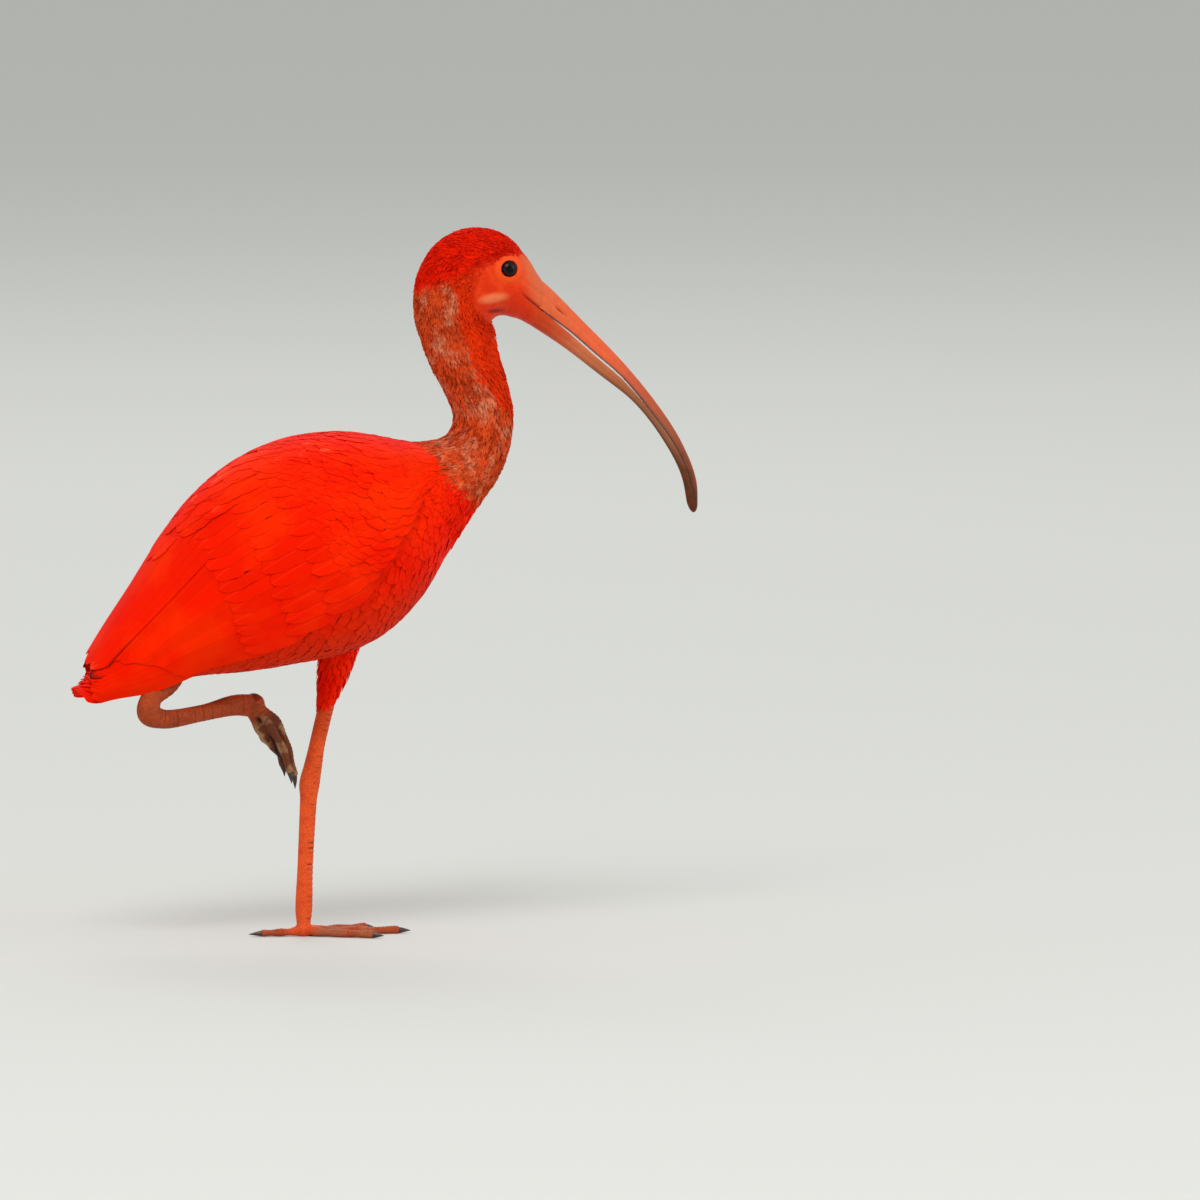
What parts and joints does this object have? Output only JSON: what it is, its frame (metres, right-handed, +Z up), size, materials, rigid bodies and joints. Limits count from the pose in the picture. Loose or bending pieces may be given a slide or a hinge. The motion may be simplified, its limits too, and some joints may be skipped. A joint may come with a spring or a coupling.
{
  "type": "scarlet ibis",
  "caption": "Still life-size scarlet ibis wading on one leg, the other leg raised and folded, with a long down-curved bill.",
  "frame": {"origin": "centre of the standing left foot's sole, on the floor", "axes": "+X ahead of the bird, +Y to its left, +Z up"},
  "size_m": [0.367, 0.1121, 0.403],
  "materials": {
    "plumage": "matte",
    "neck_plumage": "matte",
    "crown": "matte",
    "bill": "satin",
    "leg_skin": "satin",
    "claw": "satin",
    "eye": "gloss"
  },
  "bodies": {
    "root": {"head": "crown", "bill_upper": "bill", "bill_lower": "bill", "eye_right": "eye", "eye_left": "eye", "neck_upper": "neck_plumage", "neck_lower": "neck_plumage", "torso": "plumage", "tail": "plumage", "wing_right": "plumage", "wing_left": "plumage", "thigh_left": "plumage", "shin_left": "leg_skin", "tarsus_left": "leg_skin", "foot_left": "leg_skin", "thigh_right": "plumage", "shin_right": "leg_skin", "tarsus_right": "leg_skin", "foot_right": "leg_skin", "claw_left_1": "claw", "claw_left_2": "claw", "claw_left_3": "claw", "claw_left_4": "claw", "claw_right_1": "claw", "claw_right_2": "claw", "claw_right_3": "claw", "claw_right_4": "claw"}
  },
  "joints": []
}
